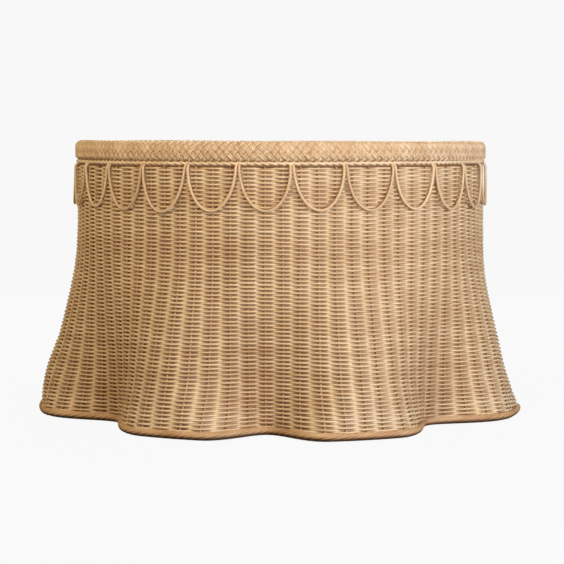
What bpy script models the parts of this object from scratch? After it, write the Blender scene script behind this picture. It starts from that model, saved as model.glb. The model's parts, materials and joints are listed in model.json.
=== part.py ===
"""A wicker lamp shade. Its wall is straight at the top and flares below into a skirt of seven waves.

A plaited rim and a twined band finish the top edge, cane scallops hang under them, and a rolled border
finishes the hem. Inside, a steel wire frame holds the waves in shape and carries the lamp fitter.

Metres, +Z up. The origin is on the shade's axis, in the plane that the hem stands on. Angles round the
axis are counted from the front, which is -Y, towards +X. Pieces that touch keep a gap of about 0.3 mm.
"""

import math

import bmesh
import bpy
from mathutils import Vector

# The wall, measured to the middle of its thickness
DRUM_RADIUS = 0.2072
WALL_THICKNESS = 0.0064
WALL_FOOT = 0.0084
WALL_HEAD = 0.2531
SKIRT_START = 0.156
SKIRT_SOFTNESS = 0.012
SKIRT_SLOPE = 0.252

# Valleys between the skirt's waves: the direction of each and its half widths at the hem before and after
# that direction, in degrees.
# They are a little uneven, as in handwork, and widen upwards until each meets the next.
VALLEYS = (
    (-3.6, 14, 14),
    (45.5, 18, 22),
    (97, 17, 17),
    (148, 17, 17),
    (199, 17, 17),
    (250, 14, 14),
    (306.4, 21, 21),
)
VALLEY_HALF_PITCH = 180 / len(VALLEYS)
VALLEY_DEPTH = 1.17
WIDENING_HEIGHT = 0.05

# Borders
HEM_RADIUS = 0.004
HEM_OUTWARD = 0.0007
BAND_FOOT = 0.2534
BAND_HEAD = 0.2577
BAND_INNER = 0.2035
BAND_OUTER = 0.2108
RIM_FOOT = 0.258
RIM_HEAD = 0.276
RIM_INNER = 0.1978
RIM_OUTER = 0.2118
RIM_ROUNDING = 0.005

# Scallops of cane that hang under the band
SCALLOPS = 26
SCALLOP_PITCH = 2 * math.pi / SCALLOPS
FIRST_JUNCTION = math.radians(2.9)
CANE_RADIUS = 0.0013
LEG_GAP = 0.0004
SCALLOP_DROP = 0.0432
SCALLOP_LIFT = 0.0008

# Steel wire frame and lamp fitter
GAP = 0.00035
RING_WIRE_RADIUS = 0.002
STRUT_RADIUS = 0.0015
TOP_RING_HEIGHT = 0.2475
HEM_RING_HEIGHT = 0.0135
FITTER_HEIGHT = 0.222
FITTER_THICKNESS = 0.0025
FITTER_INNER = 0.021
FITTER_OUTER = 0.030
ARM_RADIUS = 0.002
ARMS = 3

# Facets
WALL_SEGMENTS = 112
WALL_ROWS = 11
RING_SEGMENTS = 56
SCALLOP_POINTS = 13
STRUT_POINTS = 9

RATTAN = (0.62, 0.43, 0.25)
RATTAN_PALE = (0.68, 0.49, 0.30)
STEEL = (0.72, 0.70, 0.66)


def clear_scene():
    for thing in list(bpy.data.objects):
        bpy.data.objects.remove(thing)


def new_collection(name):
    collection = bpy.data.collections.new(name)
    bpy.context.scene.collection.children.link(collection)
    return collection


def make_material(name, colour, roughness, metallic):
    material = bpy.data.materials.new(name)
    material.use_nodes = True
    shader = material.node_tree.nodes["Principled BSDF"]
    shader.inputs["Base Color"].default_value = (*colour, 1.0)
    shader.inputs["Roughness"].default_value = roughness
    shader.inputs["Metallic"].default_value = metallic
    return material


def skirt_spread(height):
    """How far a crest stands out from the drum: nothing above, a straight slope below, a soft bend between."""
    return SKIRT_SLOPE * SKIRT_SOFTNESS * math.log1p(math.exp((SKIRT_START - height) / SKIRT_SOFTNESS))


def valley_share(angle, height):
    """1 in the middle of a valley and 0 on the crests."""
    rise = min(1.0, max(0.0, height / WIDENING_HEIGHT))
    share = 0.0
    for direction, foot_before, foot_after in VALLEYS:
        offset = (math.degrees(angle) - direction + 180) % 360 - 180
        foot_half_width = foot_before if offset < 0 else foot_after
        half_width = foot_half_width + (VALLEY_HALF_PITCH - foot_half_width) * rise
        if abs(offset) < half_width:
            share = max(share, math.cos(math.pi / 2 * offset / half_width) ** 2)
    return share


def crest_angle(wave):
    """The direction of the crest between one valley and the next."""
    before = VALLEYS[wave][0]
    step = (VALLEYS[(wave + 1) % len(VALLEYS)][0] - before) % 360
    return math.radians(before + step / 2)


def wall_radius(angle, height):
    return DRUM_RADIUS + skirt_spread(height) * (1 - VALLEY_DEPTH * valley_share(angle, height))


def around(radius, angle, height):
    return Vector((radius * math.sin(angle), -radius * math.cos(angle), height))


def wall_point(angle, height, outward=0.0):
    """A point on the middle of the wall, moved along the wall's outward normal."""
    step = 0.0005
    here = around(wall_radius(angle, height), angle, height)
    aside = around(wall_radius(angle + step, height), angle + step, height)
    above = around(wall_radius(angle, height + step), angle, height + step)
    normal = (aside - here).cross(above - here).normalized()
    return here + normal * outward


def level_wall_point(angle, height, outward):
    """As wall_point, but moved in the level plane only, so that the point keeps its height."""
    here = wall_point(angle, height)
    shift = wall_point(angle, height, 1.0) - here
    shift.z = 0.0
    return here + shift.normalized() * outward


def add_object(name, data, collection, material, smooth_angle=math.radians(50)):
    thing = bpy.data.objects.new(name, data)
    collection.objects.link(thing)
    data.materials.append(material)
    if isinstance(data, bpy.types.Mesh):
        data.shade_smooth()
        data.set_sharp_from_angle(angle=smooth_angle)
    return thing


def make_tube(name, points, radius, collection, material, closed=False, sides_setting=1):
    """A round wire or cane along the points. Its sides number 4 + 2 * sides_setting."""
    curve = bpy.data.curves.new(name, "CURVE")
    curve.dimensions = "3D"
    curve.bevel_depth = radius
    curve.bevel_resolution = sides_setting
    curve.use_fill_caps = not closed
    spline = curve.splines.new("POLY")
    spline.points.add(len(points) - 1)
    for slot, point in zip(spline.points, points):
        slot.co = (*point, 1.0)
    spline.use_cyclic_u = closed
    return add_object(name, curve, collection, material)


def make_turned(name, profile, collection, material):
    """A ring turned round the axis. The profile is a closed loop of (radius, height) pairs that runs
    downwards on its outer side."""
    mesh = bpy.data.meshes.new(name)
    shape = bmesh.new()
    points = [shape.verts.new((radius, 0.0, height)) for radius, height in profile]
    for first, second in zip(points, points[1:] + points[:1]):
        shape.edges.new((first, second))
    shape.to_mesh(mesh)
    shape.free()
    ring = add_object(name, mesh, collection, material)
    turn = ring.modifiers.new("turn", "SCREW")
    turn.steps = RING_SEGMENTS
    turn.render_steps = RING_SEGMENTS
    turn.use_merge_vertices = True
    turn.merge_threshold = 0.0001
    turn.use_smooth_shade = True
    return ring


def rounded_section(inner, outer, foot, head, rounding, corner_points):
    """A rectangle of radius and height with rounded corners, listed clockwise from the top of its outer side."""
    corners = [
        (outer - rounding, head - rounding, 90),
        (outer - rounding, foot + rounding, 0),
        (inner + rounding, foot + rounding, -90),
        (inner + rounding, head - rounding, -180),
    ]
    section = []
    for radius, height, start in corners:
        for number in range(corner_points):
            turn = math.radians(start - 90 * number / (corner_points - 1))
            section.append((radius + rounding * math.cos(turn), height + rounding * math.sin(turn)))
    return section


def make_wall(collection, material):
    """The woven wall: one open sheet through the middle of the weave, thickened to both sides."""
    mesh = bpy.data.meshes.new("woven_wall")
    sheet = bmesh.new()
    rows = []
    for row in range(WALL_ROWS + 1):
        height = WALL_FOOT + (WALL_HEAD - WALL_FOOT) * (row / WALL_ROWS) ** 1.25
        angles = [2 * math.pi * number / WALL_SEGMENTS for number in range(WALL_SEGMENTS)]
        rows.append([sheet.verts.new(wall_point(angle, height)) for angle in angles])
    for lower, upper in zip(rows, rows[1:]):
        for number in range(WALL_SEGMENTS):
            after = (number + 1) % WALL_SEGMENTS
            sheet.faces.new((lower[number], lower[after], upper[after], upper[number]))
    sheet.to_mesh(mesh)
    sheet.free()
    wall = add_object("woven_wall", mesh, collection, material)
    thicken = wall.modifiers.new("thickness", "SOLIDIFY")
    thicken.thickness = WALL_THICKNESS
    thicken.offset = 0.0
    thicken.use_even_offset = True


def make_borders(collection, rattan, pale_rattan):
    rim = rounded_section(RIM_INNER, RIM_OUTER, RIM_FOOT, RIM_HEAD, RIM_ROUNDING, corner_points=3)
    make_turned("plaited_rim", rim, collection, pale_rattan)
    band_rounding = (BAND_HEAD - BAND_FOOT) / 2.5
    band = rounded_section(BAND_INNER, BAND_OUTER, BAND_FOOT, BAND_HEAD, band_rounding, corner_points=2)
    make_turned("twined_band", band, collection, pale_rattan)
    angles = [2 * math.pi * number / WALL_SEGMENTS for number in range(WALL_SEGMENTS)]
    hem = [level_wall_point(angle, HEM_RADIUS, HEM_OUTWARD) for angle in angles]
    make_tube("hem_border", hem, HEM_RADIUS, collection, rattan, closed=True, sides_setting=2)


def scallop_route(middle_angle):
    """One hanging loop: the lower half of an ellipse, with both ends close under the band."""
    half_width = SCALLOP_PITCH * DRUM_RADIUS / 2 - CANE_RADIUS - LEG_GAP
    leg_outward = WALL_THICKNESS / 2 + GAP + CANE_RADIUS
    leg_top = BAND_FOOT - GAP
    route = []
    for number in range(SCALLOP_POINTS):
        bend = math.pi * (number / (SCALLOP_POINTS - 1) - 0.5)
        drop = math.cos(bend)
        angle = middle_angle + math.sin(bend) * half_width / DRUM_RADIUS
        route.append(wall_point(angle, leg_top - SCALLOP_DROP * drop, leg_outward + SCALLOP_LIFT * drop))
    return route


def make_scallops(collection, material):
    for number in range(SCALLOPS):
        middle = FIRST_JUNCTION + SCALLOP_PITCH * (number + 0.5)
        name = f"scallop_loop_{number + 1:02d}"
        make_tube(name, scallop_route(middle), CANE_RADIUS, collection, material)


def make_frame(collection, material):
    """A round ring at the top, a waved ring at the hem, and a strut up the inside of each wave."""
    ring_outward = -(WALL_THICKNESS / 2 + GAP + RING_WIRE_RADIUS)
    angles = [2 * math.pi * number / RING_SEGMENTS for number in range(RING_SEGMENTS)]
    top = [wall_point(angle, TOP_RING_HEIGHT, ring_outward) for angle in angles]
    make_tube("frame_top_ring", top, RING_WIRE_RADIUS, collection, material, closed=True)

    slope_clearance = 0.001
    hem_outward = ring_outward - slope_clearance
    angles = [2 * math.pi * number / WALL_SEGMENTS for number in range(WALL_SEGMENTS)]
    hem = [level_wall_point(angle, HEM_RING_HEIGHT, hem_outward) for angle in angles]
    make_tube("frame_hem_ring", hem, RING_WIRE_RADIUS, collection, material, closed=True)

    facet_clearance = 0.0011
    strut_outward = -(WALL_THICKNESS / 2 + STRUT_RADIUS + facet_clearance)
    foot = HEM_RING_HEIGHT + RING_WIRE_RADIUS + GAP
    head = TOP_RING_HEIGHT - RING_WIRE_RADIUS - GAP
    for wave in range(len(VALLEYS)):
        crest = crest_angle(wave)
        heights = [foot + (head - foot) * number / (STRUT_POINTS - 1) for number in range(STRUT_POINTS)]
        strut = [level_wall_point(crest, height, strut_outward) for height in heights]
        make_tube(f"frame_strut_{wave + 1}", strut, STRUT_RADIUS, collection, material)


def make_fitter(collection, material):
    """A flat ring that a lamp holder's nut clamps, on three arms that run up to the frame's top ring."""
    foot = FITTER_HEIGHT - FITTER_THICKNESS / 2
    head = FITTER_HEIGHT + FITTER_THICKNESS / 2
    plate = [(FITTER_OUTER, head), (FITTER_OUTER, foot), (FITTER_INNER, foot), (FITTER_INNER, head)]
    make_turned("fitter_ring", plate, collection, material)
    ring_inside = DRUM_RADIUS - WALL_THICKNESS / 2 - 2 * GAP - 2 * RING_WIRE_RADIUS
    for number in range(ARMS):
        angle = math.pi + 2 * math.pi * number / ARMS
        inner_end = around(FITTER_OUTER + 2 * GAP, angle, FITTER_HEIGHT)
        elbow = around(FITTER_OUTER + 5 * ARM_RADIUS, angle, FITTER_HEIGHT)
        outer_end = around(ring_inside - GAP, angle, TOP_RING_HEIGHT)
        shoulder = outer_end.lerp(elbow, 0.06)
        shoulder.z = TOP_RING_HEIGHT
        route = [inner_end, elbow, shoulder, outer_end]
        make_tube(f"fitter_arm_{number + 1}", route, ARM_RADIUS, collection, material, sides_setting=2)


def main():
    clear_scene()
    shade = new_collection("wicker_lamp_shade")
    rattan = make_material("rattan_core", RATTAN, roughness=0.62, metallic=0.0)
    pale_rattan = make_material("rattan_pale", RATTAN_PALE, roughness=0.58, metallic=0.0)
    steel = make_material("frame_steel", STEEL, roughness=0.35, metallic=1.0)
    make_wall(shade, rattan)
    make_borders(shade, rattan, pale_rattan)
    make_scallops(shade, pale_rattan)
    make_frame(shade, steel)
    make_fitter(shade, steel)


main()
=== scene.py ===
"""The looks of the wicker lamp shade: every cane of its weave, borders and scallops, round the CAD frame.

Metres, +Z up, in the frame's own coordinates. Angles round the axis are counted from the front, -Y,
towards +X.
"""

import json
import math

import bpy
import numpy as np
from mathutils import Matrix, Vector

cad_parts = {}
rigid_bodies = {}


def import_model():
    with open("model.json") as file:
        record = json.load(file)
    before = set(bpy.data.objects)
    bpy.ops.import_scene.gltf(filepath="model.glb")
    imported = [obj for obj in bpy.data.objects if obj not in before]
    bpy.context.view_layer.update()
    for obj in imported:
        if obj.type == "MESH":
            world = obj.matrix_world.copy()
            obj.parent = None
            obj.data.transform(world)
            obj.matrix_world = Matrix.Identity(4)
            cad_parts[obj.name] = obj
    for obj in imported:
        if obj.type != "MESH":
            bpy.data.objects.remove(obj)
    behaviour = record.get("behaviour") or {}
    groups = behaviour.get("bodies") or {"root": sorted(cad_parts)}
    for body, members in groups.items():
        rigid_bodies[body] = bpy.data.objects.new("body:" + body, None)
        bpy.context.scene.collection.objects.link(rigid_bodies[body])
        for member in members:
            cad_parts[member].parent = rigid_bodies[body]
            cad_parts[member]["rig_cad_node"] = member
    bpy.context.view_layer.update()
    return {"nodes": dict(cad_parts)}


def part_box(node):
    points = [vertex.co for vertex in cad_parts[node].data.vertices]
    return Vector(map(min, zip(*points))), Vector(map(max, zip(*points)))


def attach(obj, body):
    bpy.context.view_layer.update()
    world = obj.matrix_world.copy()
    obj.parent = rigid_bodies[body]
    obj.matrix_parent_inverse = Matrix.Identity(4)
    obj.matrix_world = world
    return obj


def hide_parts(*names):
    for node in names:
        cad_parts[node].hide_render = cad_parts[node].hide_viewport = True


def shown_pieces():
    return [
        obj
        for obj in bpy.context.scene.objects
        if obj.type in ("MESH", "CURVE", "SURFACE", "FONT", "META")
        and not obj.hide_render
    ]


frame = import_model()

random = np.random.default_rng(41)

wall_low, wall_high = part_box("woven_wall")
band_low, band_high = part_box("twined_band")
rim_low, rim_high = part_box("plaited_rim")
hem_low, hem_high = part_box("hem_border")

# The wall's shape, as in the CAD model, measured to the middle of the weave
DRUM_RADIUS = 0.2072
SKIRT_START = 0.156
SKIRT_SOFTNESS = 0.012
SKIRT_SLOPE = 0.252
VALLEY_DEPTH = 1.17
WIDENING_HEIGHT = 0.05
# Each valley's direction, and how far it reaches at the foot before and after that, in degrees
VALLEYS = (
    (-3.6, 14, 14),
    (45.5, 18, 22),
    (97, 17, 17),
    (148, 17, 17),
    (199, 17, 17),
    (250, 14, 14),
    (306.4, 21, 21),
)
VALLEY_HALF_PITCH = 180 / len(VALLEYS)

# What the left wave's foot has beyond the CAD wall
BULGE = 0.0043
BULGE_DIRECTION = -82
BULGE_HALF_WIDTH = 27
BULGE_HEIGHT = 0.038
BULGE_HALF_HEIGHT = 0.041
BULGE_POWER = 1.3

# Counts round the drum, and the direction in which the first two scallops meet
SCALLOPS = 26
STAKES_PER_SCALLOP = 3
STAKES = SCALLOPS * STAKES_PER_SCALLOP
STAKE_PITCH = 2 * math.pi / STAKES
SCALLOP_PITCH = 2 * math.pi / SCALLOPS
FIRST_JUNCTION = math.radians(2.9)

# Upright stakes, and how far they stray, in radians: at the top, how much more at the foot, and a slow
# waver on the way up
STAKE_RADIUS = 0.0011
STAKE_SIDES = 8
STAKE_POINTS = 48
STAKE_TONE = (0.5, 0.15)
# Painted shade on the stakes, where they sit back in the weave
STAKE_PAINTED_SHADE = 0.9
STRAY_TOP = 0.0012
STRAY_FOOT = 0.0045
WAVER = 0.0016
WAVER_CLIMB = 24
WAVER_SPREAD = 5

# Weavers. Offsets are outward of the middle of the weave, and a pair is a mean and its spread
WEAVER_RADIUS = 0.00095
WEAVER_SIDES = 6
WEAVER_TALL_SHOWN = 1.13
WEAVER_TALL_DEEP = 1.5
ROW_PITCH = 0.00191
HEAD_GAP = 0.0012
ROWS_PER_PIECE = 8
INTERVAL_SAMPLES = (0.0, 0.2, 0.35, 0.5, 0.65, 0.8)
WEAVE_OFFSET = 0.0019
WEAVE_SQUARENESS = 0.07
WEAVE_LEVELLING = np.array([1.0, 1.0, 0.2])
WEAVE_SLACK = 0.05
CROSSING_RISE = 0.00009
ROW_WANDER = 0.0004
WALL_WANDER = 0.0003
STEADY_BORDER = 0.02
GAUGE_CHANGE = 0.035
GAUGE_TURN = 0.9
ROUNDS_PER_CANE = 2.6

# The weavers' tones, from 0, dark, to 1, pale, and the painted light, painted shade and painted sheen on
# them
WEAVER_TONE = (0.55, 0.13)
WEAVER_TONE_LIMITS = (0.02, 0.98)
TONE_WANDER = 0.06
CREST_PAINTED_LIGHT = 0.12
CROSSING_PAINTED_LIGHT = 0.3
WEAVER_PAINTED_SHADE = 0.65
VALLEY_SHADE = 0.4
SKIRT_SHADE = 0.1
# A painted sheen on the skirt's crests, strongest on the side that faces the right
CREST_PAINTED_SHEEN = 0.8
PAINTED_SHEEN_TURN = math.radians(20)

# The plaited rim: its section, its strands of canes, and the dimples between them, with painted shade round
# the dimples and where canes pass under
RIM_DEPTH = 0.0140
RIM_TOP_ROUNDING = 0.0046
RIM_FOOT_ROUNDING = 0.0017
ROUNDING_STEP = 6
RIM_SINK = 0.0013
RIM_MIDDLE = 0.2657
RIM_LEAN = 0.0006
RIM_WAVE = 0.0003
BRAID_STRANDS = 5
BRAID_UNITS = 180
BRAID_CANES = 3
BRAID_SAMPLES = 6
BRAID_CANE_RADIUS = 0.00098
BRAID_SPREAD = 0.285
BRAID_PINCH = -0.03
BRAID_PLAY = 0.10
BRAID_TONE = (0.55, 0.16)
BRAID_TONE_PLAY = 0.14
DIMPLE_PINCH = 0.15
DIMPLE_ROW = -0.25
DIMPLE_REACH = 0.45
DIMPLE_SHADE = 0.3
DIMPLE_SHADE_ASIDE = 0.7

# The canes that the plait goes round, three by three, and two more behind the twined band
CORE_RADIUS = 0.0018
CORE_SIDES = 8
CORE_STEPS = 360
CORE_COLUMN_PITCH = 1.4
CORE_ROW_PITCH = 1.9
# Painted shade on these canes, which sit hidden behind the plait and the band
CORE_PAINTED_SHADE = 1.6
CORE_TONE_LIMITS = (0.2, 0.5)
BAND_BACK_LOW = 0.0003
BAND_BACK_HIGH = 0.0001

# Heights at which the band and the hem read the rim's noise, so that each varies in its own way
BAND_TURN_SLICE = 0.3
BAND_TONE_SLICE = 0.9
HEM_TURN_SLICE = 0.6
HEM_TONE_SLICE = 1.2

# The twined band under the rim
BAND_STRANDS = 3
BAND_SAMPLES = 5
BAND_SIDES = 8
BAND_CANE_RADIUS = 0.00135
BAND_INNER = 0.2035
BAND_PLAY = 0.35
BAND_LEAN_SHARE = 0.3
BAND_TONE = 0.75
BAND_TONE_PLAY = 0.12

# The hem, with a painted shade over it. The painted shade of its underside starts at one height and is
# darkest from another down
HEM_STRANDS = 6
HEM_SIDES = 8
HEM_CANE_RADIUS = 0.0017
HEM_STRAND_SPACING = 0.0083
HEM_OUTWARD = 0.0007
HEM_SAMPLES = 16
HEM_ROUTE_POINTS = 4001
HEM_PLAY = 0.25
HEM_TONE = 0.35
HEM_TONE_PLAY = 0.15
HEM_TONE_SPREAD = 0.1
HEM_PAINTED_SHADE = 0.35
HEM_SHADE_TOP = 0.0044
HEM_SHADE_FULL = 0.0024
UNDERSIDE_PAINTED_SHADE = 2

# Scallops. Their ends are tucked in behind the band, and each differs a little from the next
LOOP_RADIUS = 0.0013
LOOP_SIDES = 10
LOOP_POINTS = 89
LOOP_DROP = 0.0432
LOOP_TOP = 0.0014
LOOP_GAP = 0.0002
LOOP_SIDE_GAP = 0.0001
LOOP_LIFT = 0.0008
LOOP_TUCK = 0.0032
LOOP_TUCK_HEIGHT = 0.0042
LOOP_TUCK_POWER = 1.5
DROP_CHANGE = 0.0009
LIFT_CHANGE = 0.0004
LEAN_CHANGE = 0.0008
SKEW_CHANGE = 0.0005
LOOP_TONE = (0.45, 0.14)

# Floor, light and camera
FLOOR_SEEN = (0.86, 0.86, 0.86, 1)
FLOOR_GLOW = (0.951, 0.951, 0.951, 1)
FLOOR_GLOW_SHARE = 0.98
FLOOR_BOUNCE = (0.12, 0.12, 0.12, 1)
# A darker paper under the shade: painted shade
FLOOR_INSIDE_PAINTED_SHADE = (0.60, 0.56, 0.50, 1)
FLOOR_REACH = 30.0
FLOOR_STEPS = 360
FLOOR_DROP = 0.0005
FLOOR_CENTRE_SHARE = 0.001
FOOT_SHARE = 0.99
BACKGROUND = (0.94, 0.94, 0.94, 1)
AMBIENT = 0.2
AMBIENT_COLOUR = (1.0, 0.9, 0.75, 1)
LAMP_DISTANCE = 1.3
LAMP_TARGET = Vector((0, 0, 0.15))
# Each lamp's name, direction in degrees, height, power, width and colour
LAMPS = (
    ("far_left", -80, 0.3, 3.0, 0.45, (1.0, 0.89, 0.62)),
    ("upper_left", -30, 0.9, 9.6, 0.45, (1.0, 0.85, 0.62)),
    ("front_right", 20, 0.3, 6.5, 0.45, (0.84, 0.88, 1.0)),
    ("right", 50, 0.4, 10.0, 0.15, (0.84, 0.89, 1.0)),
    ("back", 180, 1.0, 16.0, 0.6, (1.0, 0.95, 0.86)),
)
CAMERA_PLACE = (0, -2.0035, 0.28135)
CAMERA_DOWN = 4.3335
CAMERA_TURN = -0.0456
CAMERA_LENS = 123.0
CAMERA_SENSOR = 36
CAMERA_CLIP = (0.05, 200)


# ---- the wall's surface ----

def skirt_spread(height):
    return SKIRT_SLOPE * SKIRT_SOFTNESS * np.log1p(np.exp((SKIRT_START - height) / SKIRT_SOFTNESS))


def degrees_from(direction, angle):
    return (np.degrees(angle) - direction + 180) % 360 - 180


def valley_share(angle, height):
    """1 at the bottom of a valley and 0 on the crest of a wave. Valleys widen from the foot upwards."""
    rise = np.clip(height / WIDENING_HEIGHT, 0, 1)
    share = np.zeros(np.broadcast(angle, height).shape)
    for direction, foot_before, foot_after in VALLEYS:
        offset = degrees_from(direction, angle)
        foot_half_width = np.where(offset < 0, foot_before, foot_after)
        half_width = foot_half_width + (VALLEY_HALF_PITCH - foot_half_width) * rise
        inside = np.minimum(np.abs(offset) / half_width, 1)
        share = np.maximum(share, np.cos(np.pi / 2 * inside) ** 2)
    return share


def left_bulge(angle, height):
    """How far the left wave's foot, fuller in the photo's outline, stands outward of the CAD wall."""
    offset = degrees_from(BULGE_DIRECTION, angle)
    aside = np.cos(np.pi / 2 * np.minimum(np.abs(offset) / BULGE_HALF_WIDTH, 1)) ** 2
    level = np.cos(np.pi / 2 * np.minimum(np.abs(height - BULGE_HEIGHT) / BULGE_HALF_HEIGHT, 1))
    return BULGE * aside * np.maximum(level, 0) ** BULGE_POWER


def around(radius, angle, height):
    parts = np.broadcast_arrays(radius * np.sin(angle), -radius * np.cos(angle), height)
    return np.stack(parts, axis=-1)


def on_wall(angle, height):
    radius = DRUM_RADIUS + skirt_spread(height) * (1 - VALLEY_DEPTH * valley_share(angle, height))
    return around(radius + left_bulge(angle, height), angle, height)


def unit(vectors):
    return vectors / np.maximum(np.linalg.norm(vectors, axis=-1, keepdims=True), 1e-12)


def wall_frame(angle, height):
    """A point on the middle of the weave, the outward normal there and the direction up the wall."""
    step = 0.0005
    here = on_wall(angle, height)
    aside = unit(on_wall(angle + step, height) - on_wall(angle - step, height))
    up = unit(on_wall(angle, height + step) - on_wall(angle, height - step))
    return here, unit(np.cross(aside, up)), up


def smooth_noise(waves, cycles, seed):
    """A smooth function of angle and height, about -1 to 1: a sum of waves that close round the drum."""
    mean_climb = 34
    source = np.random.default_rng(seed)
    turns = source.integers(1, cycles + 1, waves)
    climbs = source.normal(0, mean_climb, waves)
    starts = source.uniform(0, 2 * math.pi, waves)
    weights = source.uniform(0.5, 1, waves)

    def noise(angle, height):
        total = sum(
            weight * np.sin(turn * angle + climb * height + start)
            for turn, climb, start, weight in zip(turns, climbs, starts, weights)
        )
        return total / math.sqrt(waves / 2)

    return noise


row_wander = smooth_noise(9, 9, seed=7)
wall_wander = smooth_noise(8, 11, seed=11)
rim_wave = smooth_noise(6, 7, seed=5)
rim_play = smooth_noise(8, 40, seed=6)


# ---- materials ----

def srgb(red, green, blue):
    """A colour given as on a screen, 0 to 255, as the linear values that a shader takes."""
    parts = [channel / 255 for channel in (red, green, blue)]
    linear = [part / 12.92 if part <= 0.04045 else ((part + 0.055) / 1.055) ** 2.4 for part in parts]
    return (*linear, 1.0)


CORE_STOPS = [
    (0.0, srgb(176, 137, 94)),
    (0.3, srgb(196, 159, 115)),
    (0.55, srgb(208, 173, 129)),
    (0.8, srgb(218, 186, 142)),
    (1.0, srgb(226, 197, 156)),
]
PALE_STOPS = [
    (0.0, srgb(197, 159, 117)),
    (0.35, srgb(213, 178, 135)),
    (0.7, srgb(224, 193, 152)),
    (1.0, srgb(234, 207, 168)),
]
# Brown of the pores, also laid on as painted shade where a cane runs deep; the painted shade of the hem's
# underside; and a painted sheen
PORE_AND_SHADE_BROWN = srgb(152, 91, 32)
UNDERSIDE_SHADE_COLOUR = srgb(74, 48, 22)
PAINTED_SHEEN_COLOUR = srgb(208, 190, 162)
ZINC_STOPS = [
    (0.3, srgb(176, 174, 168)),
    (0.7, srgb(212, 210, 204)),
]
ZINC_SPOT = srgb(120, 112, 100)

# Scales of the cane's noises: along it and across it, and for the regions in every direction
FIBRE_SCALE = (60.0, 2600.0, 2600.0)
PATCH_SCALE = (38.0, 180.0, 180.0)
PORE_SCALE = (420.0, 3800.0, 3800.0)
REGION_SCALE = 26.0
# Between which two values of a noise its effect grows from nothing to all
NOISE_EDGE = (0.3, 0.7)
STREAK_EDGE = (0.32, 0.68)
PORE_EDGE = (0.66, 0.74)
SPOT_EDGE = (0.62, 0.75)
# How far patches and regions shift a cane's tone
PATCH_SHARE = 0.3
REGION_SHARE = 0.14
STREAK_DARK = 0.8
STREAK_LIGHT = 1.12
PORE_SHARE = 0.45
# How much of each colour a cane takes where its painted shading is -1, 1 and 2: painted sheen, painted
# shade and the hem's painted underside shade
PAINTED_SHEEN_SHARE = 0.5
PAINTED_SHADE_SHARE = 0.6
UNDERSIDE_SHADE_SHARE = 0.9
SPECULAR = 0.5
SMOOTHER = 0.07
ROUGHER = 0.1
FIBRE_HEIGHT = 0.00012
CLOUD_SCALE = 150.0
SPOT_SCALE = 900.0
SPOT_SHARE = 0.5
ZINC_ROUGHNESS = (0.28, 0.46)
SPOT_BUMP = 0.2
SPOT_HEIGHT = 0.0001


class Nodes:
    """Short calls for building one material's node tree."""

    def __init__(self, name):
        self.material = bpy.data.materials.new(name)
        self.material.use_nodes = True
        self.tree = self.material.node_tree
        self.shader = self.tree.nodes["Principled BSDF"]

    def add(self, kind, **settings):
        node = self.tree.nodes.new(kind)
        for key, value in settings.items():
            setattr(node, key, value)
        return node

    def put(self, socket, value):
        if isinstance(value, bpy.types.NodeSocket):
            self.tree.links.new(value, socket)
        else:
            socket.default_value = value

    def attribute(self, name):
        return self.add("ShaderNodeAttribute", attribute_name=name)

    def multiply_add(self, value, factor, addend, clamp=False):
        node = self.add("ShaderNodeMath", operation="MULTIPLY_ADD", use_clamp=clamp)
        for socket, part in zip(node.inputs, (value, factor, addend)):
            self.put(socket, part)
        return node.outputs[0]

    def span(self, value, low, high, to_low, to_high):
        node = self.add("ShaderNodeMapRange", clamp=True)
        for socket, part in zip(node.inputs, (value, low, high, to_low, to_high)):
            self.put(socket, part)
        return node.outputs[0]

    def noise(self, vector, scale, detail, roughness=0.5):
        node = self.add("ShaderNodeTexNoise", noise_dimensions="3D")
        self.put(node.inputs["Vector"], vector)
        self.put(node.inputs["Scale"], scale)
        self.put(node.inputs["Detail"], detail)
        self.put(node.inputs["Roughness"], roughness)
        return node.outputs["Fac"]

    def stretched(self, vector, scale):
        node = self.add("ShaderNodeVectorMath", operation="MULTIPLY")
        self.put(node.inputs[0], vector)
        node.inputs[1].default_value = scale
        return node.outputs[0]

    def mix(self, share, first, second, blend="MIX"):
        node = self.add("ShaderNodeMix", data_type="RGBA", blend_type=blend)
        self.put(node.inputs[0], share)
        self.put(node.inputs[6], first)
        self.put(node.inputs[7], second)
        return node.outputs[2]

    def grey(self, value):
        node = self.add("ShaderNodeCombineColor")
        for socket in node.inputs[:3]:
            self.put(socket, value)
        return node.outputs[0]

    def ramp(self, value, stops):
        node = self.add("ShaderNodeValToRGB")
        self.put(node.inputs[0], value)
        elements = node.color_ramp.elements
        while len(elements) < len(stops):
            elements.new(0.5)
        for element, (place, colour) in zip(elements, stops):
            element.position = place
            element.color = colour
        return node.outputs[0]

    def bump(self, height, strength, distance):
        node = self.add("ShaderNodeBump")
        self.put(node.inputs["Height"], height)
        node.inputs["Strength"].default_value = strength
        node.inputs["Distance"].default_value = distance
        self.tree.links.new(node.outputs["Normal"], self.shader.inputs["Normal"])


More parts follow.
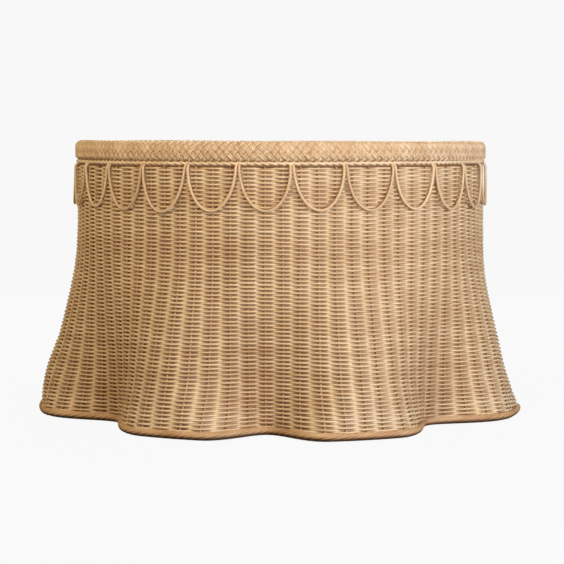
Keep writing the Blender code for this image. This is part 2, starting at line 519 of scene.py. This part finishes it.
def cane_material(name, stops, roughness, bump_strength):
    """Round rattan: each cane has its own tone, fibres and pores, with painted shade where it runs deep or
    under the hem and a painted sheen.
    """
    nodes = Nodes(name)
    grain = nodes.attribute("cane_grain").outputs["Vector"]
    tone = nodes.attribute("cane_tone").outputs["Fac"]
    painted_shading = nodes.attribute("cane_depth").outputs["Fac"]
    place = nodes.add("ShaderNodeTexCoord").outputs["Object"]

    fibres = nodes.noise(nodes.stretched(grain, FIBRE_SCALE), 1.0, detail=3.0, roughness=0.6)
    patches = nodes.noise(nodes.stretched(grain, PATCH_SCALE), 1.0, detail=2.0)
    regions = nodes.noise(place, REGION_SCALE, detail=3.0, roughness=0.55)
    pores = nodes.noise(nodes.stretched(grain, PORE_SCALE), 1.0, detail=1.0)

    toned = nodes.multiply_add(nodes.span(regions, *NOISE_EDGE, -0.5, 0.5), REGION_SHARE, tone)
    toned = nodes.multiply_add(nodes.span(patches, *NOISE_EDGE, -0.5, 0.5), PATCH_SHARE, toned, clamp=True)
    colour = nodes.ramp(toned, stops)
    streaks = nodes.span(fibres, *STREAK_EDGE, STREAK_DARK, STREAK_LIGHT)
    colour = nodes.mix(1.0, colour, nodes.grey(streaks), "MULTIPLY")
    colour = nodes.mix(nodes.span(pores, *PORE_EDGE, 0.0, PORE_SHARE), colour, PORE_AND_SHADE_BROWN)
    # Painted sheen, then painted shade where a cane runs deep, then the painted shade of the hem's
    # underside
    colour = nodes.mix(nodes.span(painted_shading, -1.0, 0.0, PAINTED_SHEEN_SHARE, 0.0), colour, PAINTED_SHEEN_COLOUR)
    colour = nodes.mix(nodes.span(painted_shading, 0.0, 1.0, 0.0, PAINTED_SHADE_SHARE), colour, PORE_AND_SHADE_BROWN)
    colour = nodes.mix(nodes.span(painted_shading, 1.0, 2.0, 0.0, UNDERSIDE_SHADE_SHARE), colour, UNDERSIDE_SHADE_COLOUR)
    nodes.put(nodes.shader.inputs["Base Color"], colour)
    rough = nodes.span(fibres, *NOISE_EDGE, roughness - SMOOTHER, roughness + ROUGHER)
    nodes.put(nodes.shader.inputs["Roughness"], rough)
    nodes.shader.inputs["Specular IOR Level"].default_value = SPECULAR
    nodes.bump(fibres, bump_strength, FIBRE_HEIGHT)
    return nodes.material


def steel_material(name):
    """Zinc-plated wire, with cloudy zinc and a few dull spots."""
    nodes = Nodes(name)
    place = nodes.add("ShaderNodeTexCoord").outputs["Object"]
    clouds = nodes.noise(place, CLOUD_SCALE, detail=3.0, roughness=0.6)
    spots = nodes.noise(place, SPOT_SCALE, detail=2.0)
    colour = nodes.ramp(clouds, ZINC_STOPS)
    colour = nodes.mix(nodes.span(spots, *SPOT_EDGE, 0.0, SPOT_SHARE), colour, ZINC_SPOT)
    nodes.put(nodes.shader.inputs["Base Color"], colour)
    nodes.put(nodes.shader.inputs["Roughness"], nodes.span(clouds, *NOISE_EDGE, *ZINC_ROUGHNESS))
    nodes.shader.inputs["Metallic"].default_value = 1.0
    nodes.bump(spots, SPOT_BUMP, SPOT_HEIGHT)
    return nodes.material


# Each of the record's cane slots with its material
CANES = {
    "rattan_core": cane_material("rattan_core", CORE_STOPS, roughness=0.54, bump_strength=0.35),
    "rattan_pale": cane_material("rattan_pale", PALE_STOPS, roughness=0.5, bump_strength=0.3),
}
steel = steel_material("frame_steel")


# ---- meshes ----

SHARP_EDGE = math.radians(75)
GRAIN_STEP = 3.7


def directions(centres):
    """The way each cane runs at each of its points. A cane whose ends meet is closed."""
    forward = np.empty_like(centres)
    forward[:, 1:-1] = centres[:, 2:] - centres[:, :-2]
    forward[:, 0] = centres[:, 1] - centres[:, 0]
    forward[:, -1] = centres[:, -1] - centres[:, -2]
    closed = np.linalg.norm(centres[:, 0] - centres[:, -1], axis=-1) < 1e-7
    joined = centres[:, 1] - centres[:, -2]
    forward[closed, 0] = joined[closed]
    forward[closed, -1] = joined[closed]
    return unit(forward)


def lengths(centres):
    """How far along its cane each point is."""
    steps = np.linalg.norm(np.diff(centres, axis=1), axis=-1)
    return np.concatenate([np.zeros((len(centres), 1)), np.cumsum(steps, axis=1)], axis=1)


def tube_points(centres, across, beside, radius, sides, tall):
    """Rings of points round the centres, by cane, point and side. tall stretches a ring across."""
    turns = 2 * np.pi * np.arange(sides) / sides
    radius = np.broadcast_to(radius, centres.shape[:-1])[..., None, None]
    tall = np.broadcast_to(tall, centres.shape[:-1])[..., None, None]
    ring = tall * np.cos(turns)[:, None] * across[..., None, :]
    ring = ring + np.sin(turns)[:, None] * beside[..., None, :]
    return centres[..., None, :] + radius * ring


def tube_faces(lines, points, sides):
    """Quads between a tube's rings, and a cap at each end."""
    number = np.arange(lines * points * sides).reshape(lines, points, sides)
    after = np.roll(number, -1, axis=2)
    quads = [number[:, :-1], after[:, :-1], after[:, 1:], number[:, 1:]]
    quads = np.stack(quads, axis=-1).reshape(-1, 4)
    caps = np.concatenate([number[:, 0, ::-1], number[:, -1, :]])
    return quads, caps


def tube_mesh(name, vertices, quads, caps):
    mesh = bpy.data.meshes.new(name)
    mesh.vertices.add(len(vertices))
    mesh.vertices.foreach_set("co", vertices.astype(np.float32).ravel())
    corners = np.concatenate([quads.ravel(), caps.ravel()])
    sizes = np.concatenate([np.full(len(quads), 4), np.full(len(caps), caps.shape[1])])
    starts = np.concatenate([[0], np.cumsum(sizes)[:-1]])
    mesh.loops.add(len(corners))
    mesh.loops.foreach_set("vertex_index", corners.astype(np.int32))
    mesh.polygons.add(len(sizes))
    mesh.polygons.foreach_set("loop_start", starts.astype(np.int32))
    mesh.polygons.foreach_set("loop_total", sizes.astype(np.int32))
    mesh.update(calc_edges=True)
    mesh.validate()
    mesh.shade_smooth()
    mesh.set_sharp_from_angle(angle=SHARP_EDGE)
    return mesh


def put_attribute(mesh, label, kind, values):
    attribute = mesh.attributes.new(label, kind, "POINT")
    field = "vector" if kind == "FLOAT_VECTOR" else "value"
    attribute.data.foreach_set(field, np.ascontiguousarray(values, dtype=np.float32).ravel())


def add_canes(name, centres, across, radius, sides, slot, tones, painted_shading=None, tall=1.0):
    """One piece of many canes along centres, by cane, point and axis.

    across is the section's first axis, and tall stretches it. tones is 0 to 1 for each cane or point. The
    painted shading is -1 for a painted sheen, 0 where the cane shows plain, 1 for painted shade where it
    runs deep in the weave and 2 for the painted shade on the underside of the hem."""
    lines, points = centres.shape[:2]
    forward = directions(centres)
    beside = unit(np.cross(forward, across))
    across = np.cross(beside, forward)
    vertices = tube_points(centres, across, beside, radius, sides, tall).reshape(-1, 3)
    quads, caps = tube_faces(lines, points, sides)
    mesh = tube_mesh(name, vertices, quads, caps)

    shape = (lines, points, sides)
    turns = np.broadcast_to(2 * np.pi * np.arange(sides) / sides, shape)
    width = np.broadcast_to(np.asarray(radius, float), (lines, points))[..., None]
    starts = np.arange(lines)[:, None, None] * GRAIN_STEP
    along = np.broadcast_to(lengths(centres)[..., None] + starts, shape)
    grain = np.stack([along, width * np.cos(turns), width * np.sin(turns)], axis=-1)
    tones = np.broadcast_to(np.asarray(tones, float).reshape(lines, -1)[..., None], shape)
    painted_shading = np.zeros(shape) if painted_shading is None else np.broadcast_to(painted_shading.reshape(lines, points, -1), shape)
    put_attribute(mesh, "cane_grain", "FLOAT_VECTOR", grain)
    put_attribute(mesh, "cane_tone", "FLOAT", tones)
    put_attribute(mesh, "cane_depth", "FLOAT", painted_shading)

    mesh.materials.append(CANES[slot])
    piece = bpy.data.objects.new(name, mesh)
    bpy.context.scene.collection.objects.link(piece)
    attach(piece, "root")


# ---- the weave ----

stake_lean = random.normal(0, 1, (3, STAKES))


def stake_drift(height):
    """How far each stake stands from its even place, in radians, a row of numbers for each height."""
    height = np.asarray(height, float)[..., None]
    low = np.clip((SKIRT_START - height) / SKIRT_START, 0, 1)
    sway = stake_lean[0] * (STRAY_TOP + STRAY_FOOT * low)
    return sway + stake_lean[1] * WAVER * np.sin(WAVER_CLIMB * height + WAVER_SPREAD * stake_lean[2])


def stake_angles(places, height):
    """The direction of each place in the weave, counted in stakes, at each height."""
    drift = stake_drift(height)
    below = np.floor(places).astype(int)
    share = places - below
    first = np.take_along_axis(drift, (below % STAKES)[..., None], axis=-1)[..., 0]
    second = np.take_along_axis(drift, ((below + 1) % STAKES)[..., None], axis=-1)[..., 0]
    return FIRST_JUNCTION + STAKE_PITCH * (places + 0.5) + first * (1 - share) + second * share


def make_weavers():
    """Rows of cane from the hem up to the rim, each in front of every second stake."""
    first_height = wall_low.z + WEAVER_RADIUS
    last_height = wall_high.z - WEAVER_RADIUS - HEAD_GAP
    rows = int(round((last_height - first_height) / ROW_PITCH)) + 1
    heights = np.linspace(first_height, last_height, rows)
    starts = random.integers(0, STAKES, rows)
    cane_tones = np.clip(random.normal(*WEAVER_TONE, rows + 2), *WEAVER_TONE_LIMITS)
    loose = random.normal(0, 1, (rows, STAKES))
    rises = random.normal(0, 1, (rows, STAKES))
    samples = [stake + np.array(INTERVAL_SAMPLES) for stake in range(STAKES)]
    samples = np.concatenate(samples + [[STAKES]])
    for first_row in range(0, rows, ROWS_PER_PIECE):
        chosen = np.arange(first_row, min(first_row + ROWS_PER_PIECE, rows))
        row_starts = starts[chosen][:, None]
        places = row_starts + samples
        flat_angle = FIRST_JUNCTION + STAKE_PITCH * places

        # Where the row runs, with a little rise and slack of its own at each stake
        height = np.broadcast_to(heights[chosen][:, None], places.shape)
        near = np.round(places).astype(int) % STAKES
        closeness = np.cos(np.pi * (places - np.round(places)))
        jitter = np.take_along_axis(rises[chosen], near, axis=1) * closeness * CROSSING_RISE
        slack = 1 + WEAVE_SLACK * np.take_along_axis(loose[chosen], near, axis=1) * closeness
        border = np.clip(np.minimum(height - wall_low.z, wall_high.z - height) / STEADY_BORDER, 0, 1)
        height = height + border * ROW_WANDER * row_wander(flat_angle, height) + jitter
        angle = stake_angles(places, height)

        # In and out of the stakes
        phase = np.pi * places
        wave = (np.cos(phase) - WEAVE_SQUARENESS * np.cos(3 * phase)) / (1 - WEAVE_SQUARENESS)
        side = np.where(chosen % 2 == 0, 1.0, -1.0)[:, None]
        offset = WEAVE_OFFSET * wave * slack * side + WALL_WANDER * wall_wander(flat_angle, height)
        here, normal, up = wall_frame(angle, height)
        outward = unit(normal * WEAVE_LEVELLING)
        rise = unit(up - outward * np.sum(up * outward, axis=-1, keepdims=True))
        centres = here + outward * offset[..., None]
        gauge = WEAVER_RADIUS * (1 + GAUGE_CHANGE * np.sin(places * GAUGE_TURN + row_starts))
        behind = 0.5 - 0.5 * wave * side
        tall = WEAVER_TALL_SHOWN + (WEAVER_TALL_DEEP - WEAVER_TALL_SHOWN) * behind

        # Painted light: paler on the waves' crests and where the rows cross. Painted shade: darker in the
        # valleys, down the skirt and behind the stakes
        rounds = chosen[:, None] + places / STAKES
        low = np.clip(1 - height / SKIRT_START, 0, 1)
        valley = valley_share(angle, height)
        tones = cane_tones[np.floor(rounds / ROUNDS_PER_CANE).astype(int)]
        tones = tones + TONE_WANDER * row_wander(flat_angle * 3, height * 2)
        tones = tones + CREST_PAINTED_LIGHT * low * (1 - valley) + CROSSING_PAINTED_LIGHT * (1 - np.abs(wave))
        deep = np.clip(-wave * side, 0, 1)
        painted_shading = np.clip(WEAVER_PAINTED_SHADE * deep + (SKIRT_SHADE + VALLEY_SHADE * valley) * low, 0, 1)
        # Painted sheen: the skirt's crests paler where they turn to the right
        painted_sheen = CREST_PAINTED_SHEEN * (0.5 + 0.5 * np.sin(angle + PAINTED_SHEEN_TURN))
        painted_shading = painted_shading - painted_sheen * low * (1 - valley) * (1 - deep)

        number = first_row // ROWS_PER_PIECE + 1
        add_canes(
            f"weavers_{number:02d}", centres, rise, gauge, WEAVER_SIDES, "rattan_core",
            np.clip(tones, 0, 1), painted_shading, tall,
        )


def make_stakes():
    """Uprights from inside the hem to behind the twined band."""
    foot = hem_low.z + 0.5 * (hem_high.z - hem_low.z)
    heights = np.linspace(foot, band_high.z, STAKE_POINTS)
    height = np.broadcast_to(heights[None, :], (STAKES, STAKE_POINTS))
    even = FIRST_JUNCTION + STAKE_PITCH * (np.arange(STAKES) + 0.5)
    angle = even[:, None] + stake_drift(heights).T
    here, normal, _ = wall_frame(angle, height)
    centres = here + normal * (WALL_WANDER * wall_wander(angle, height))[..., None]
    tones = np.clip(random.normal(*STAKE_TONE, STAKES), 0, 1)
    # Painted shade on every stake
    painted_shading = np.full(centres.shape[:2], STAKE_PAINTED_SHADE)
    add_canes("upright_stakes", centres, normal, STAKE_RADIUS, STAKE_SIDES, "rattan_core", tones, painted_shading)


# ---- the plaited rim ----

def rim_lift(angle):
    """How much higher the rim stands than drawn: a little towards its left, and a slight wave."""
    return RIM_LEAN * (1 - np.sin(angle)) + RIM_WAVE * rim_wave(angle, 0.0)


def rim_section(inset):
    """The rim's rounded outline, inset by that much, from the middle of its outer side up and round.

    Returns a function from the share of the way round to the radius and height there, and the outward
    direction's two parts."""
    step = 0.0006
    outer = rim_high.x - inset
    inner = outer - RIM_DEPTH + 2 * inset
    low = rim_low.z + inset - RIM_SINK
    high = rim_high.z - inset
    top = RIM_TOP_ROUNDING
    foot = RIM_FOOT_ROUNDING
    corners = [
        (outer - top, high - top, 0, top),
        (inner + top, high - top, 90, top),
        (inner + foot, low + foot, 180, foot),
        (outer - foot, low + foot, 270, foot),
    ]
    points = [(outer, RIM_MIDDLE)]
    for radius, height, start, rounding in corners:
        for turn in np.radians(start + np.arange(0, 91, ROUNDING_STEP)):
            points.append((radius + rounding * np.cos(turn), height + rounding * np.sin(turn)))
    points.append(points[0])
    points = np.array(points)
    travelled = np.concatenate([[0], np.cumsum(np.linalg.norm(np.diff(points, axis=0), axis=1))])
    perimeter = travelled[-1]

    def change(column, ahead, behind):
        values = points[:, column]
        return np.interp(ahead, travelled, values) - np.interp(behind, travelled, values)

    def at(share):
        place = (share % 1) * perimeter
        ahead = (place + step) % perimeter
        behind = (place - step) % perimeter
        radius = np.interp(place, travelled, points[:, 0])
        height = np.interp(place, travelled, points[:, 1])
        along_radius = change(0, ahead, behind)
        along_height = change(1, ahead, behind)
        size = np.hypot(along_radius, along_height)
        return radius, height, along_height / size, -along_radius / size

    return at


def make_rim():
    """Strands of canes that turn round the rim both ways and pass over and under each other."""
    outline = rim_section(inset=2 * BRAID_CANE_RADIUS)
    steps = np.arange(BRAID_UNITS * BRAID_SAMPLES + 1) / BRAID_SAMPLES
    canes = [
        (strand, cane - (BRAID_CANES - 1) / 2)
        for strand in range(BRAID_STRANDS)
        for cane in range(BRAID_CANES)
    ]
    strand, aside = np.array(canes)[:, :1], np.array(canes)[:, 1:]
    for turning, name in ((1, "plait_strands_right"), (-1, "plait_strands_left")):
        angle = 2 * np.pi * steps[None, :] / BRAID_UNITS
        units = steps[None, :] + BRAID_PLAY * rim_play(angle, 0.0)
        row = (strand + turning * units + BRAID_STRANDS / 2) % BRAID_STRANDS - BRAID_STRANDS / 2
        dimpled = np.exp(-(((row - DIMPLE_ROW) / DIMPLE_REACH) ** 2))
        pinch = BRAID_PINCH + (DIMPLE_PINCH - BRAID_PINCH) * dimpled
        spread = (BRAID_SPREAD + pinch * np.cos(4 * np.pi * units)) * aside
        share = (strand + turning * units + spread) / BRAID_STRANDS
        phase = 2 * np.pi * (units + turning * spread / 2)
        lift = turning * BRAID_CANE_RADIUS * np.cos(phase)
        radius, height, out_radius, out_height = outline(share)
        radius = radius + lift * out_radius
        height = height + lift * out_height + rim_lift(angle)
        angle = np.broadcast_to(angle, radius.shape)
        centres = around(radius, angle, height)
        centres[:, -1] = centres[:, 0]
        across = around(out_radius, angle, out_height)
        tones = np.clip(random.normal(*BRAID_TONE, len(canes)), 0, 1)[:, None]
        tones = np.clip(tones + BRAID_TONE_PLAY * rim_play(angle * 2, 0.0), 0, 1)
        # Painted shade where a cane passes under the other strand, and round the dimples
        under = np.clip(-turning * np.cos(phase), 0, 1)
        shade = DIMPLE_SHADE + DIMPLE_SHADE_ASIDE * np.abs(aside)
        shade = dimpled * np.sin(2 * np.pi * units) ** 2 * shade
        add_canes(
            name, centres, across, BRAID_CANE_RADIUS, WEAVER_SIDES, "rattan_pale",
            tones, np.maximum(under, shade),
        )


def make_rim_core():
    """The bundle of canes that the plait goes round, and two canes behind the twined band."""
    angle = 2 * np.pi * np.arange(CORE_STEPS + 1) / CORE_STEPS
    middle_radius = rim_high.x - RIM_DEPTH / 2
    middle_height = (rim_low.z + rim_high.z) / 2
    lines = []
    for column in (-1, 0, 1):
        for row in (-1, 0, 1):
            radius = middle_radius + column * CORE_COLUMN_PITCH * CORE_RADIUS
            height = middle_height + row * CORE_ROW_PITCH * CORE_RADIUS + rim_lift(angle)
            lines.append(around(radius, angle, height))
    for height in (band_low.z + BAND_BACK_LOW, band_high.z + BAND_BACK_HIGH):
        lines.append(around(DRUM_RADIUS, angle, height))
    centres = np.array(lines)
    centres[:, -1] = centres[:, 0]
    up = np.broadcast_to(np.array([0.0, 0.0, 1.0]), centres.shape)
    tones = random.uniform(*CORE_TONE_LIMITS, len(lines))
    # Painted shade on the hidden canes
    painted_shading = np.full(centres.shape[:2], CORE_PAINTED_SHADE)
    add_canes("rim_core_canes", centres, up, CORE_RADIUS, CORE_SIDES, "rattan_core", tones, painted_shading)


# ---- the twined band and the hem ----

def make_band():
    """A rope of canes under the rim, twisted so that one cane shows for each unit of the plait."""
    leads = BRAID_UNITS / BAND_STRANDS
    points = BRAID_UNITS * BAND_SAMPLES
    angle = 2 * np.pi * np.arange(points + 1) / points
    outer = band_high.x - BAND_CANE_RADIUS
    inner = BAND_INNER + BAND_CANE_RADIUS
    half_height = (band_high.z - band_low.z) / 2 - BAND_CANE_RADIUS
    lines = []
    for strand in range(BAND_STRANDS):
        turn = -leads * angle + 2 * np.pi * strand / BAND_STRANDS
        turn = turn + BAND_PLAY * rim_play(angle, BAND_TURN_SLICE)
        radius = (outer + inner) / 2 + (outer - inner) / 2 * np.cos(turn)
        height = (band_low.z + band_high.z) / 2 + half_height * np.sin(turn)
        height = height + BAND_LEAN_SHARE * rim_lift(angle)
        lines.append(around(radius, angle, height))
    centres = np.array(lines)
    centres[:, -1] = centres[:, 0]
    up = np.broadcast_to(np.array([0.0, 0.0, 1.0]), centres.shape)
    tones = np.clip(BAND_TONE + BAND_TONE_PLAY * rim_play(angle, BAND_TONE_SLICE), 0, 1)
    tones = np.broadcast_to(tones, centres.shape[:2])
    add_canes("twined_strands", centres, up, BAND_CANE_RADIUS, BAND_SIDES, "rattan_pale", tones)


def make_hem():
    """A thick rope of canes along the wavy foot, with painted shade over it and darker on its underside."""
    fine = np.linspace(0, 2 * np.pi, HEM_ROUTE_POINTS)
    height = (hem_low.z + hem_high.z) / 2

    def middle(angle):
        here, normal, _ = wall_frame(angle, np.full(np.shape(angle), height))
        level = unit(normal * np.array([1.0, 1.0, 0.0]))
        return here + level * HEM_OUTWARD, level

    route, _ = middle(fine)
    travelled = np.concatenate([[0], np.cumsum(np.linalg.norm(np.diff(route, axis=0), axis=1))])
    leads = round(travelled[-1] / (HEM_STRANDS * HEM_STRAND_SPACING))
    points = leads * HEM_SAMPLES
    angle = np.interp(np.linspace(0, travelled[-1], points + 1), travelled, fine)
    centre, level = middle(angle)
    twist_radius = (hem_high.z - hem_low.z) / 2 - HEM_CANE_RADIUS
    up = np.array([0.0, 0.0, 1.0])
    lines = []
    for strand in range(HEM_STRANDS):
        turn = 2 * np.pi * (leads * np.arange(points + 1) / points + strand / HEM_STRANDS)
        turn = turn + HEM_PLAY * rim_play(angle, HEM_TURN_SLICE)
        twist = np.cos(turn)[:, None] * level + np.sin(turn)[:, None] * up
        lines.append(centre + twist_radius * twist)
    centres = np.array(lines)
    centres[:, -1] = centres[:, 0]
    across = np.broadcast_to(up, centres.shape)
    turns = 2 * np.pi * np.arange(HEM_SIDES) / HEM_SIDES
    # Painted shade on the underside of the hem, and a lighter painted shade over all of it
    surface = centres[..., 2:] + HEM_CANE_RADIUS * np.cos(turns)
    shade = np.clip((HEM_SHADE_TOP - surface) / (HEM_SHADE_TOP - HEM_SHADE_FULL), 0, 1)
    painted_shading = HEM_PAINTED_SHADE + (UNDERSIDE_PAINTED_SHADE - HEM_PAINTED_SHADE) * shade
    tones = HEM_TONE + HEM_TONE_PLAY * rim_play(angle, HEM_TONE_SLICE)[None, :]
    tones = np.clip(tones + random.normal(0, HEM_TONE_SPREAD, (HEM_STRANDS, 1)), 0, 1)
    add_canes("hem_strands", centres, across, HEM_CANE_RADIUS, HEM_SIDES, "rattan_core", tones, painted_shading)


# ---- the scallops ----

def make_loops():
    """Single canes that hang from under the band on the face of the drum."""
    leg_outward = WEAVE_OFFSET + WEAVER_RADIUS + LOOP_RADIUS + LOOP_GAP
    half_width = SCALLOP_PITCH * DRUM_RADIUS / 2 - LOOP_RADIUS - LOOP_SIDE_GAP
    top = band_low.z + LOOP_TOP
    bend = np.linspace(-np.pi / 2, np.pi / 2, LOOP_POINTS)
    drop = np.cos(bend)
    for number in range(SCALLOPS):
        middle = FIRST_JUNCTION + SCALLOP_PITCH * (number + 0.5)
        drop_change, lean, lift_change, skew = random.normal(0, 1, 4)
        height = top - (LOOP_DROP + DROP_CHANGE * drop_change) * drop
        tucked = np.clip((height - top + LOOP_TUCK_HEIGHT) / LOOP_TUCK_HEIGHT, 0, 1)
        tuck = tucked**LOOP_TUCK_POWER * LOOP_TUCK
        outward = leg_outward + (LOOP_LIFT + LIFT_CHANGE * lift_change) * drop - tuck
        swing = (LEAN_CHANGE * lean + SKEW_CHANGE * skew * np.sin(bend)) * drop
        angle = middle + (np.sin(bend) * half_width + swing) / DRUM_RADIUS
        here, normal, _ = wall_frame(angle, height)
        centres = (here + normal * outward[:, None])[None]
        tone = np.clip(random.normal(*LOOP_TONE), 0, 1)
        add_canes(
            f"scallop_{number + 1:02d}", centres, normal[None], LOOP_RADIUS, LOOP_SIDES, "rattan_pale", tone
        )


make_weavers()
make_stakes()
make_rim()
make_rim_core()
make_band()
make_hem()
make_loops()


# ---- what stands for which CAD node ----

def replace_nodes():
    for piece in list(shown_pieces()):
        if piece.name.startswith("scallop_") and "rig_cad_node" not in piece:
            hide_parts(f"scallop_loop_{piece.name[-2:]}")
        elif piece.name.startswith("weavers_") or piece.name == "upright_stakes":
            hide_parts("woven_wall")
        elif piece.name.startswith("plait_strands") or piece.name == "rim_core_canes":
            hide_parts("plaited_rim")
        elif piece.name == "twined_strands":
            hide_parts("twined_band")
        elif piece.name == "hem_strands":
            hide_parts("hem_border")


def plate_steel():
    """The CAD frame and fitter show as they are, in zinc."""
    for name, node in frame["nodes"].items():
        if name.startswith(("frame_", "fitter_")):
            for place in node.material_slots:
                place.link = "OBJECT"
                place.material = steel


replace_nodes()
plate_steel()


# ---- floor, light and camera ----

def shading(tree, kind, colour):
    node = tree.nodes.new(kind)
    node.inputs["Color"].default_value = colour
    return node.outputs[0]


def mixed_shaders(tree, share, first, second):
    node = tree.nodes.new("ShaderNodeMixShader")
    if isinstance(share, float):
        node.inputs[0].default_value = share
    else:
        tree.links.new(share, node.inputs[0])
    tree.links.new(first, node.inputs[1])
    tree.links.new(second, node.inputs[2])
    return node.outputs[0]


def floor_material(name, colour, glow_share):
    """Pale paper. It sends less light back up than it shows, as if it lay well below the shade."""
    material = bpy.data.materials.new(name)
    material.use_nodes = True
    tree = material.node_tree
    tree.nodes.remove(tree.nodes["Principled BSDF"])
    seen = shading(tree, "ShaderNodeBsdfDiffuse", colour)
    glow = shading(tree, "ShaderNodeEmission", FLOOR_GLOW)
    bounce = shading(tree, "ShaderNodeBsdfDiffuse", FLOOR_BOUNCE)
    path = tree.nodes.new("ShaderNodeLightPath")
    paper = mixed_shaders(tree, glow_share, seen, glow)
    result = mixed_shaders(tree, path.outputs["Is Camera Ray"], bounce, paper)
    tree.links.new(result, tree.nodes["Material Output"].inputs["Surface"])
    return material


def make_floor():
    """A wide floor, with a duller piece of its own inside the shade's foot as a painted shade, so that no
    light slits show through the weave."""
    turns = np.linspace(0, 2 * np.pi, FLOOR_STEPS + 1)[:-1]
    foot = FOOT_SHARE * on_wall(turns, 0.0)
    edge = around(FLOOR_REACH, turns, 0.0)
    for name, inner, outer, colour, glow_share in (
        ("floor", foot, edge, FLOOR_SEEN, FLOOR_GLOW_SHARE),
        ("floor_inside", FLOOR_CENTRE_SHARE * foot, foot, FLOOR_INSIDE_PAINTED_SHADE, 0.0),
    ):
        corners = np.concatenate([inner, outer])
        count = len(turns)
        faces = [(n, (n + 1) % count, count + (n + 1) % count, count + n) for n in range(count)]
        mesh = bpy.data.meshes.new(name)
        mesh.from_pydata(corners.tolist(), [], faces)
        mesh.materials.append(floor_material(name + "_paper", colour, glow_share))
        floor = bpy.data.objects.new(name, mesh)
        floor.location.z = -FLOOR_DROP
        bpy.context.scene.collection.objects.link(floor)


def make_background():
    """An even white behind the floor, and a weak warm light from all round."""
    world = bpy.data.worlds.new("studio")
    bpy.context.scene.world = world
    world.use_nodes = True
    tree = world.node_tree
    background = tree.nodes["Background"]
    background.inputs["Color"].default_value = BACKGROUND
    background.inputs["Strength"].default_value = 1.0
    soft = tree.nodes.new("ShaderNodeBackground")
    soft.inputs["Color"].default_value = AMBIENT_COLOUR
    soft.inputs["Strength"].default_value = AMBIENT
    path = tree.nodes.new("ShaderNodeLightPath")
    result = mixed_shaders(tree, path.outputs["Is Camera Ray"], soft.outputs[0], background.outputs[0])
    tree.links.new(result, tree.nodes["World Output"].inputs["Surface"])


def make_lamps():
    for name, azimuth, height, power, size, colour in LAMPS:
        lamp = bpy.data.lights.new(name, "AREA")
        lamp.shape = "DISK"
        lamp.size = size
        lamp.energy = power
        lamp.color = colour
        thing = bpy.data.objects.new(name, lamp)
        thing.visible_camera = False
        bpy.context.scene.collection.objects.link(thing)
        side = math.radians(azimuth)
        thing.location = (LAMP_DISTANCE * math.sin(side), -LAMP_DISTANCE * math.cos(side), height)
        aim = thing.location - LAMP_TARGET
        thing.rotation_euler = aim.to_track_quat("Z", "Y").to_euler()


def show_plain_colours():
    settings = bpy.context.scene.view_settings
    settings.view_transform = "Standard"
    settings.look = "None"


def make_camera():
    camera = bpy.data.cameras.new("camera")
    camera.sensor_width = CAMERA_SENSOR
    camera.lens = CAMERA_LENS
    camera.clip_start, camera.clip_end = CAMERA_CLIP
    thing = bpy.data.objects.new("camera", camera)
    bpy.context.scene.collection.objects.link(thing)
    thing.location = CAMERA_PLACE
    thing.rotation_euler = (math.radians(90 - CAMERA_DOWN), 0, math.radians(CAMERA_TURN))
    bpy.context.scene.camera = thing


show_plain_colours()
make_floor()
make_background()
make_lamps()
make_camera()
